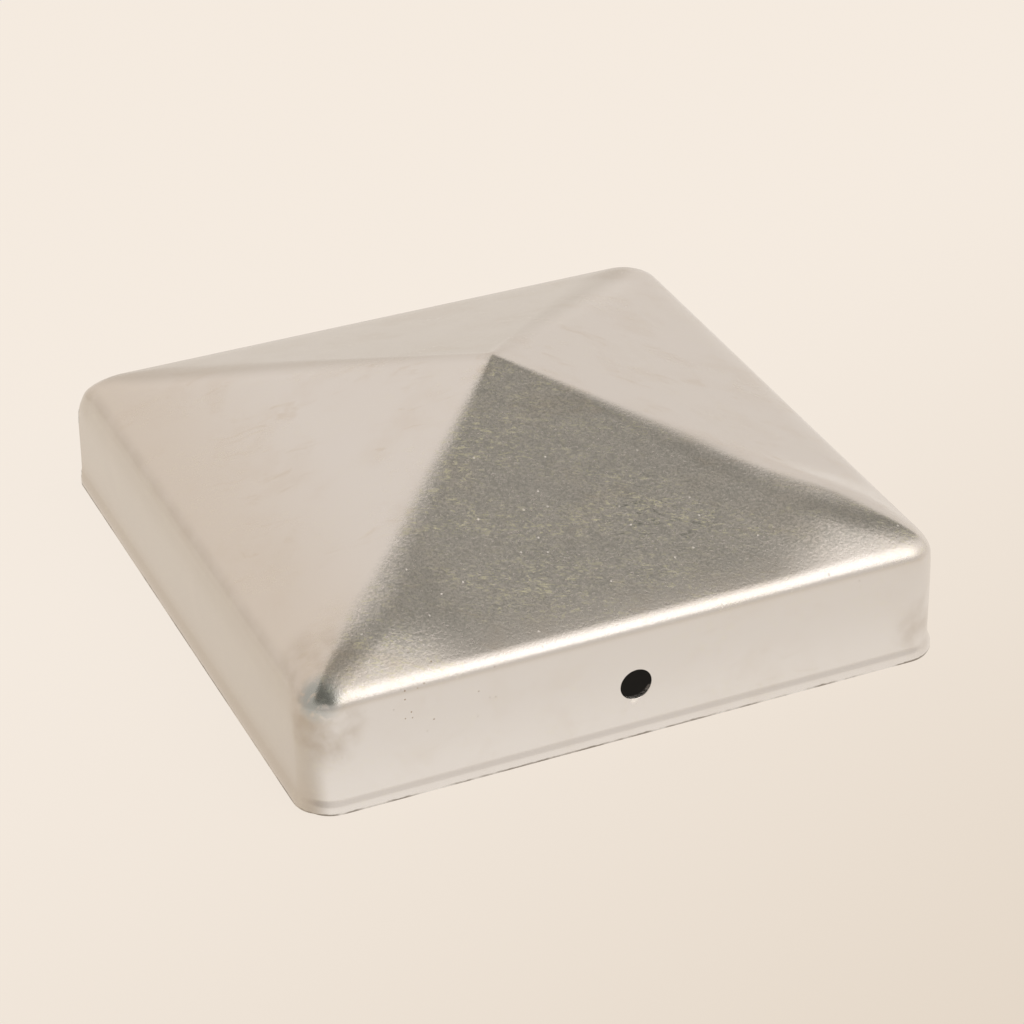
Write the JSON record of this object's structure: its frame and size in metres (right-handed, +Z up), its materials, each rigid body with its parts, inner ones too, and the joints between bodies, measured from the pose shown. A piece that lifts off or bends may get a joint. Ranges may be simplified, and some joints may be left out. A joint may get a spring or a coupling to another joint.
{
  "type": "fence post cap",
  "caption": "Drawn sheet-steel pyramid cap that fits over the top of a square timber post and is screwed through its side walls.",
  "frame": {"origin": "centre of the rim plane, which is the bottom of the cap", "axes": "+Z up through the roof's apex, -Y out of the front wall with a screw hole, +X to the right of it"},
  "size_m": [0.0938, 0.0938, 0.0341],
  "materials": {
    "satin_steel": "satin, as drawn, with faint stains and speckles"
  },
  "bodies": {
    "root": {"cap_shell": "satin_steel"}
  },
  "joints": []
}
